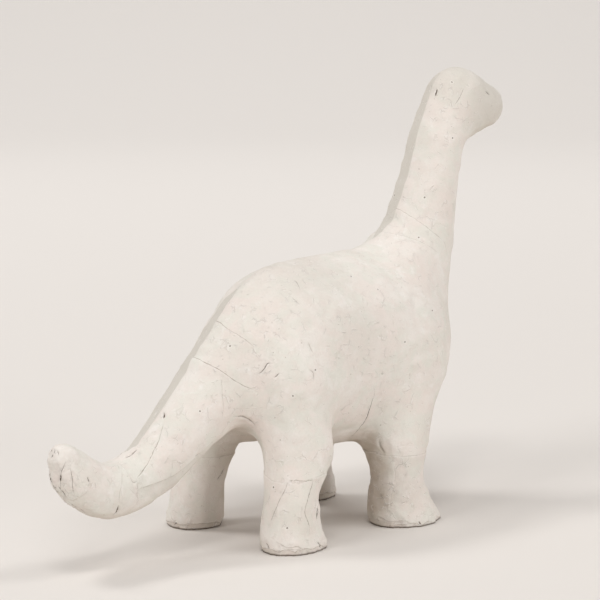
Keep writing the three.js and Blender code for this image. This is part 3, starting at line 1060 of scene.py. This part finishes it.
# The camera, the pale floor that sweeps up behind the animal, and soft light. In metres and degrees.
camera = {
    "place": (-0.9345, -0.9660, 0.3445),
    "turn": 44.3,           # from the animal's left side towards its head
    "pitch": 8.9,           # below level
    "lens": 140.7,          # in mm
    "sensor": 36.0,
    "near": 0.05,
    "far": 40.0,
}

studio = {
    "floorColour": (0.80, 0.765, 0.735, 1.0),
    "floorRoughness": 0.9,
    "floorSpecular": 0.1,
    "floorFront": -6.0,     # from the middle, along the view
    "floorHalfWidth": 8.0,
    "sweepBehind": 2.6,     # where the floor turns up
    "sweepRadius": 3.0,
    "sweepTop": 6.0,
    "sweepSteps": 24,
    "world": (1.0, 0.985, 0.965, 1.0),
    "worldStrength": 0.31,
    "aim": (0.0, 0.0, 0.12),    # where the panels point
    "panelsAway": 4.0,
}

# Soft panels: where they stand round the animal from its nose, how high, how wide, and the share of full
# white that a white sheet facing one would show.
panels = {
    "sidePanel": {"around": 278, "up": 6, "size": 1.7, "share": 0.33, "colour": (1.0, 0.98, 0.955)},
    "tailPanel": {"around": 180, "up": 28, "size": 1.5, "share": 0.29, "colour": (1.0, 0.985, 0.965)},
    "leftPanel": {"around": 120, "up": 62, "size": 0.9, "share": 0.25, "colour": (1.0, 0.985, 0.965)},
    "overPanel": {"around": 226, "up": 66, "size": 0.9, "share": 0.18, "colour": (1.0, 0.985, 0.965)},
    "nosePanel": {"around": 310, "up": 56, "size": 1.2, "share": 0.16, "colour": (1.0, 0.985, 0.965)},
}
# The panel above and behind the animal, which lights the sweep alone.
sweepPanel = {"wide": 5.0, "deep": 1.0, "power": 44.0, "behind": 1.7, "up": 2.6, "tilt": 52}


def placeCamera():
    lens = bpy.data.cameras.new("mainView")
    lens.lens = camera["lens"]
    lens.sensor_width = camera["sensor"]
    lens.clip_start = camera["near"]
    lens.clip_end = camera["far"]
    view = linkToScene(bpy.data.objects.new("mainView", lens))
    view.location = camera["place"]
    view.rotation_euler = Euler((math.radians(90 - camera["pitch"]), 0.0, math.radians(-camera["turn"])))
    bpy.context.scene.camera = view


# A place on the floor from how far it is across the view and along it.
def onView(across, along):
    turn = math.radians(-camera["turn"])
    x = across * math.cos(turn) - along * math.sin(turn)
    y = across * math.sin(turn) + along * math.cos(turn)
    return x, y


def makeFloor():
    material = bpy.data.materials.new("paleFloor")
    material.use_nodes = True
    shader = material.node_tree.nodes["Principled BSDF"]
    shader.inputs["Base Color"].default_value = studio["floorColour"]
    shader.inputs["Roughness"].default_value = studio["floorRoughness"]
    shader.inputs["Specular IOR Level"].default_value = studio["floorSpecular"]
    profile = [(studio["floorFront"], 0.0)]
    for n in range(studio["sweepSteps"] + 1):
        angle = 0.5 * math.pi * n / studio["sweepSteps"]
        along = studio["sweepBehind"] + studio["sweepRadius"] * math.sin(angle)
        profile.append((along, studio["sweepRadius"] * (1 - math.cos(angle))))
    profile.append((profile[-1][0], studio["sweepTop"]))
    half = studio["floorHalfWidth"]
    work = bmesh.new()
    rows = []
    for along, high in profile:
        rows.append([work.verts.new((*onView(across, along), high)) for across in (-half, half)])
    for (a, b), (c, d) in zip(rows, rows[1:]):
        work.faces.new((a, b, d, c))
    mesh = bpy.data.meshes.new("floorSweep")
    work.to_mesh(mesh)
    work.free()
    mesh.materials.append(material)
    mesh.shade_smooth()
    floor = linkToScene(bpy.data.objects.new("floorSweep", mesh))


def lightStudio():
    world = bpy.data.worlds.new("studio")
    world.use_nodes = True
    background = world.node_tree.nodes["Background"]
    background.inputs[0].default_value = studio["world"]
    background.inputs[1].default_value = studio["worldStrength"]
    bpy.context.scene.world = world
    bpy.context.scene.view_settings.view_transform = "Standard"
    away = studio["panelsAway"]
    for name, panel in panels.items():
        around = math.radians(panel["around"])
        up = math.radians(panel["up"])
        level = math.cos(up)
        outward = Vector((level * math.cos(around), level * math.sin(around), math.sin(up)))
        lamp = bpy.data.lights.new(name, "AREA")
        lamp.size = panel["size"]
        lamp.energy = panel["share"] * (math.pi * away) ** 2
        lamp.color = panel["colour"]
        light = linkToScene(bpy.data.objects.new(name, lamp))
        light.location = Vector(studio["aim"]) + outward * away
        light.rotation_euler = (-outward).to_track_quat("-Z", "Y").to_euler()
    lamp = bpy.data.lights.new("sweepPanel", "AREA")
    lamp.shape = "RECTANGLE"
    lamp.size = sweepPanel["wide"]
    lamp.size_y = sweepPanel["deep"]
    lamp.energy = sweepPanel["power"]
    light = linkToScene(bpy.data.objects.new("sweepPanel", lamp))
    light.location = (*onView(0, sweepPanel["behind"]), sweepPanel["up"])
    light.rotation_euler = Euler((math.radians(sweepPanel["tilt"]), 0, math.radians(-camera["turn"])))
    print("stage: camera, floor and", len(panels) + 1, "soft panels")


placeCamera()
makeFloor()
lightStudio()
paper = makePaper()
shell = makeSkin()
markSkin(shell)
raiseRelief(shell, paper)
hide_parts("dinosaur")
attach(shell, "root")
